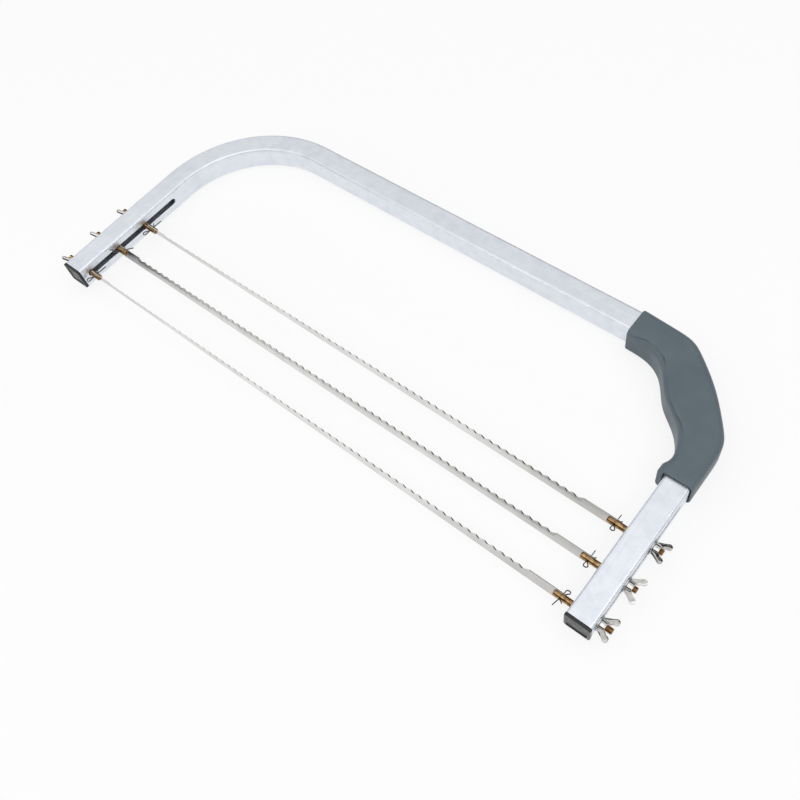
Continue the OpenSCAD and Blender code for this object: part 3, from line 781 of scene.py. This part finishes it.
for level, end, height, side, lean in ends:
    # The lower right pin was pushed in from the other face of the blade
    flip = -1 if end == "lower_right" else 1
    x = stud_tip(level, side) + side * pin_inset

    def pin_space(along, sideways, out):
        """From the plane of the pin to its place in the stud."""
        up, depth = flip * along, flip * out
        return place(x - side * sideways, height - up * sin(lean) + depth * cos(lean),
                     half_side + up * cos(lean) + depth * sin(lean))

    pin = skin("split_pin_" + end, wire_rings(pin_path(), pin_space))
    settle(pin, 60)
    finish_piece(pin, pin_steel, level + "_blade_set", "pin_" + end)

# Washers: plain 5 mm washers stamped from steel sheet and zinc plated. The punch rounds one face's
# rims, and each washer lies flat against its leg.
washer_radius, washer_thick, washer_bore = 5.5, 1.0, 2.7
# Profile as (radius, out from the leg), with a hair of air at both faces
washer_profile = [
    (washer_bore + 0.12, 0.02), (washer_bore, 0.12), (washer_bore, 0.82), (washer_bore + 0.06, 0.94),
    (washer_bore + 0.18, 0.98), (washer_radius - 0.3, 0.98), (washer_radius - 0.1, 0.92),
    (washer_radius, 0.72), (washer_radius, 0.1), (washer_radius - 0.1, 0.02)]


def lathe_rings(profile, side, height, base, count=64):
    """Rings of a turned shape: its profile, as (radius, out from its base), at each turn about the stud."""
    turns = [2 * pi * k / count for k in range(count)]
    return [[place(base + side * out, height + radius * cos(a), half_side + radius * sin(a))
             for radius, out in profile] for a in turns]


# Zinc plate over steel: a pale blue-grey metal, bright but cloudy, with rub marks from the nut.
zinc, tree, surface, spot = new_material("zinc_plated_steel", {"Metallic": 1.0})
cloud = node(tree, "ShaderNodeTexNoise", {"Vector": spot, "Scale": 600.0, "Detail": 4.0})
feed(surface, {
    "Base Color": (cloud, [(0.3, "#B4B6B9"), (0.7, "#CDCFD1")]),
    "Roughness": (cloud, [(0.3, 0.38), (0.7, 0.22)])})

for level, end, height, side, _ in ends:
    rings = lathe_rings(washer_profile, side, height, side * half_width)
    washer = skin("washer_skin_" + end, rings, wrap=True)
    settle(washer, 25)
    finish_piece(washer, zinc, level + "_blade_set", "washer_" + end)

# Wing nuts: cold-formed steel, plated with bright nickel. Two rounded tabs sweep out and forward
# from a short hub, and a sunk patch of ribs near each tip gives the fingers a hold.
hub_length, wing_reach, wing_length, wing_thick, wing_round = 4.2, 9.2, 9.8, 2.6, 2.1
# Where each nut was left, as the turn of its first tab in degrees
nut_turns = {"lower_left": -48, "lower_right": -12, "middle_left": -54, "middle_right": 6,
             "upper_left": -48, "upper_right": -20}
# Profile of the hub as (radius, out from the washer), with a hair of air at the washer
hub_profile = [(2.55, 0.3), (2.55, hub_length - 0.35), (2.9, hub_length), (3.35, hub_length),
               (3.65, hub_length - 0.3), (3.9, 0.9), (4.0, 0.35), (3.75, 0.02), (2.9, 0.02)]
# Layers of a tab across its thickness, with how far each is drawn in
half_thick = wing_thick / 2
wing_layers = [(-half_thick, 0.45), (-half_thick + 0.14, 0.14), (-half_thick + 0.45, 0.0),
               (half_thick - 0.45, 0.0), (half_thick - 0.14, 0.14), (half_thick, 0.45)]
# The ribs of a tab: size of one groove, the gap between grooves, their lean in degrees and their middle
rib_size, rib_gap, rib_lean, rib_middle = (2.7, 0.42, 0.7), 0.85, 31, Vector((6.9, 6.75, 0))


def nut_place(side, height, turn, out, away, rise):
    """Point of a turned nut: out from the washer, away from the stud's middle and across the tab."""
    return place(side * (half_width + washer_thick) + side * out,
                 height + away * cos(turn) - rise * sin(turn),
                 half_side + away * sin(turn) + rise * cos(turn))


def wing_outline():
    """Side outline of one tab as (out along the stud, away from the stud)."""
    points = [(0.35, 2.6), (0.03, 3.6), (0.15, 4.7)]
    start, finish = Vector((0.5, 5.1)), Vector((wing_length - wing_round - 0.6, wing_reach - 0.02))
    hollow = Vector((0.1, -0.15))
    points += [tuple(start.lerp(finish, k / 8) + hollow * sin(pi * k / 8)) for k in range(9)]
    middle = Vector((wing_length - wing_round, wing_reach - wing_round))
    turns = [radians(a) for a in range(10, 171, 20)]
    points += [(middle.x + wing_round * sin(a), middle.y + wing_round * cos(a)) for a in turns]
    return points + [(wing_length - wing_round - 1.2, 4.5), (5.6, 3.5), (3.9, 2.7)]


def wing(side, height, turn):
    """One tab of a nut, its outline drawn in at the faces so that its rim is round."""
    outline = [Vector(point) for point in wing_outline()]
    rings = []
    for rise, inset in wing_layers:
        ring = []
        for i, point in enumerate(outline):
            heading = (outline[(i + 1) % len(outline)] - outline[i - 1]).normalized()
            spot = point + Vector((heading.y, -heading.x)) * inset
            ring.append(nut_place(side, height, turn, spot.x, spot.y, rise))
        rings.append(ring)
    return skin("wing", rings)


def rib_cutter(side, height, turn):
    """Short grooves along both faces of both tabs, near the tips."""
    rib_turn = Matrix.Rotation(radians(rib_lean), 3, "Z")
    work = bmesh.new()
    for a in (turn, turn + pi):
        for face in (-1, 1):
            for row in (-rib_gap, 0.0, rib_gap):
                made = bmesh.ops.create_cube(work, size=1)["verts"]
                bmesh.ops.scale(work, vec=rib_size, verts=made)
                bmesh.ops.translate(work, vec=(0, row, face * half_thick), verts=made)
                bmesh.ops.rotate(work, matrix=rib_turn, verts=made)
                for vert in made:
                    vert.co = nut_place(side, height, a, *(vert.co + rib_middle))
    bmesh.ops.recalc_face_normals(work, faces=work.faces)
    return show_work("ribs", work)


# Bright nickel plate: a near-white metal with a mirror finish and a little orange peel from the forming.
nickel, tree, surface, spot = new_material("bright_nickel_plate", {"Metallic": 1.0})
peel = node(tree, "ShaderNodeTexNoise", {"Vector": spot, "Scale": 500.0, "Detail": 3.0})
feed(surface, {
    "Base Color": (peel, [(0.3, "#B3B1AF"), (0.7, "#CECCC9")]),
    "Roughness": (peel, [(0.3, 0.13), (0.7, 0.05)])}, (peel, 0.25, 0.00008))

for _, end, height, side, _ in ends:
    hub = lathe_rings(hub_profile, side, height, side * (half_width + washer_thick))
    nut = skin("wing_nut_skin_" + end, hub, wrap=True)
    turn = radians(nut_turns[end])
    wings = [wing(side, height, turn), wing(side, height, turn + pi)]
    ribs = rib_cutter(side, height, turn)
    combine(nut, wings, "UNION")
    combine(nut, [ribs])
    settle(nut, 32, wings + [ribs])
    finish_piece(nut, nickel, end + "_nut", "wing_nut_" + end)

# Studio: the tool lies on a plain pale table under soft light. The camera stands where the
# photograph's did, over the right-hand end.
work = bmesh.new()
bmesh.ops.create_grid(work, x_segments=1, y_segments=1, size=6.0)
table = show_work("table", work)

# Matte white table: diffuse for the light that it throws on the tool, near plain white where it is seen
# or mirrored, with a share of diffuse left in so that it keeps the tool's shadow.
plain_share = 0.82
tabletop = bpy.data.materials.new("matte_white_table")
tabletop.use_nodes = True
tree = tabletop.node_tree
tree.nodes.clear()
rays = node(tree, "ShaderNodeLightPath").outputs
seen = rays["Is Camera Ray"]
for ray in ("Is Glossy Ray", "Is Transmission Ray"):
    seen = node(tree, "ShaderNodeMath", {0: seen, 1: rays[ray]}, operation="MAXIMUM")
matte = node(tree, "ShaderNodeBsdfDiffuse", {"Color": paint("#F2F2F2")})
plain = node(tree, "ShaderNodeEmission", {"Color": paint("#FFFFFF"), "Strength": 1.0})
shown = node(tree, "ShaderNodeMixShader", {0: plain_share, 1: matte, 2: plain})
both = node(tree, "ShaderNodeMixShader", {0: seen, 1: matte, 2: shown})
node(tree, "ShaderNodeOutputMaterial", {"Surface": both})
table.data.materials.append(tabletop)

# The room glows from above and from the horizon, with a dark band between them. Black flags hang in front
# of the tool and behind it, and draw the dark lines along the rods. Stops are heights of the line of sight.
world = bpy.data.worlds.new("studio")
world.use_nodes = True
tree = world.node_tree
tree.nodes.clear()
rays = node(tree, "ShaderNodeLightPath").outputs
sight = node(tree, "ShaderNodeTexCoord").outputs["Generated"]
aim = node(tree, "ShaderNodeSeparateXYZ", {"Vector": sight}).outputs
ahead_or_behind = node(tree, "ShaderNodeMath", {0: aim["Y"]}, operation="ABSOLUTE")
glow, flag_width, flag_height = [
    node(tree, "ShaderNodeValToRGB", {"Fac": way}, stops) for way, stops in (
        (aim["Z"], [(0.0, 0.9), (0.19, 0.85), (0.25, 0.06), (0.38, 0.12), (0.5, 1.0), (1.0, 1.05)]),
        (ahead_or_behind, [(0.5, 0.0), (0.66, 1.0)]),
        (aim["Z"], [(0.2, 0.0), (0.26, 1.0), (0.58, 1.0), (0.68, 0.0)]))]
flag = node(tree, "ShaderNodeMath", {0: flag_width, 1: flag_height}, operation="MULTIPLY")
lit = node(tree, "ShaderNodeMix", {"Factor": flag, "A": glow, "B": paint("#2A2A2C")}, data_type="RGBA")
room = node(tree, "ShaderNodeBackground", {"Color": lit, "Strength": 1.0})
behind = node(tree, "ShaderNodeBackground", {"Color": paint("#FFFFFF"), "Strength": 1.0})
backdrop = node(tree, "ShaderNodeMixShader", {0: rays["Is Camera Ray"], 1: room, 2: behind})
node(tree, "ShaderNodeOutputWorld", {"Surface": backdrop})
bpy.context.scene.world = world

# Softboxes, as name, place, size and power: a large one high in front, and two small ones that draw the
# bright lines on the edges of the tube
softboxes = (("high", (0.55, -0.6, 1.3), 1.4, 4.2), ("front", (-0.5, -1.05, 0.62), 0.35, 1.8),
             ("right", (0.95, 0.15, 1.0), 0.35, 0.9))
for name, where, size, power in softboxes:
    lamp = bpy.data.lights.new(name, "AREA")
    lamp.size = size
    lamp.energy = power
    softbox = show(name, lamp)
    softbox.location = where
    softbox.rotation_euler = (-Vector(where)).to_track_quat("-Z", "Y").to_euler()

# The camera's place, the way it looks, in degrees, and its lens, all fitted to edges of the frame
camera_place = place(329.317, -145.147, 557.076)
azimuth, elevation, roll = radians(48.643), radians(59.134), radians(-11.907)
ahead = Vector((-sin(azimuth) * cos(elevation), cos(azimuth) * cos(elevation), -sin(elevation)))
level_right = Vector((cos(azimuth), sin(azimuth), 0))
level_up = level_right.cross(ahead)
right = cos(roll) * level_right + sin(roll) * level_up
up = cos(roll) * level_up - sin(roll) * level_right
camera = show("camera", bpy.data.cameras.new("camera"))
camera.matrix_world = Matrix.Translation(camera_place) @ Matrix((right, up, -ahead)).transposed().to_4x4()
camera.data.sensor_width = 36
camera.data.lens = 39.785
camera.data.shift_x = -0.05
camera.data.shift_y = 0.0135
bpy.context.scene.camera = camera
bpy.context.scene.view_settings.view_transform = "Standard"
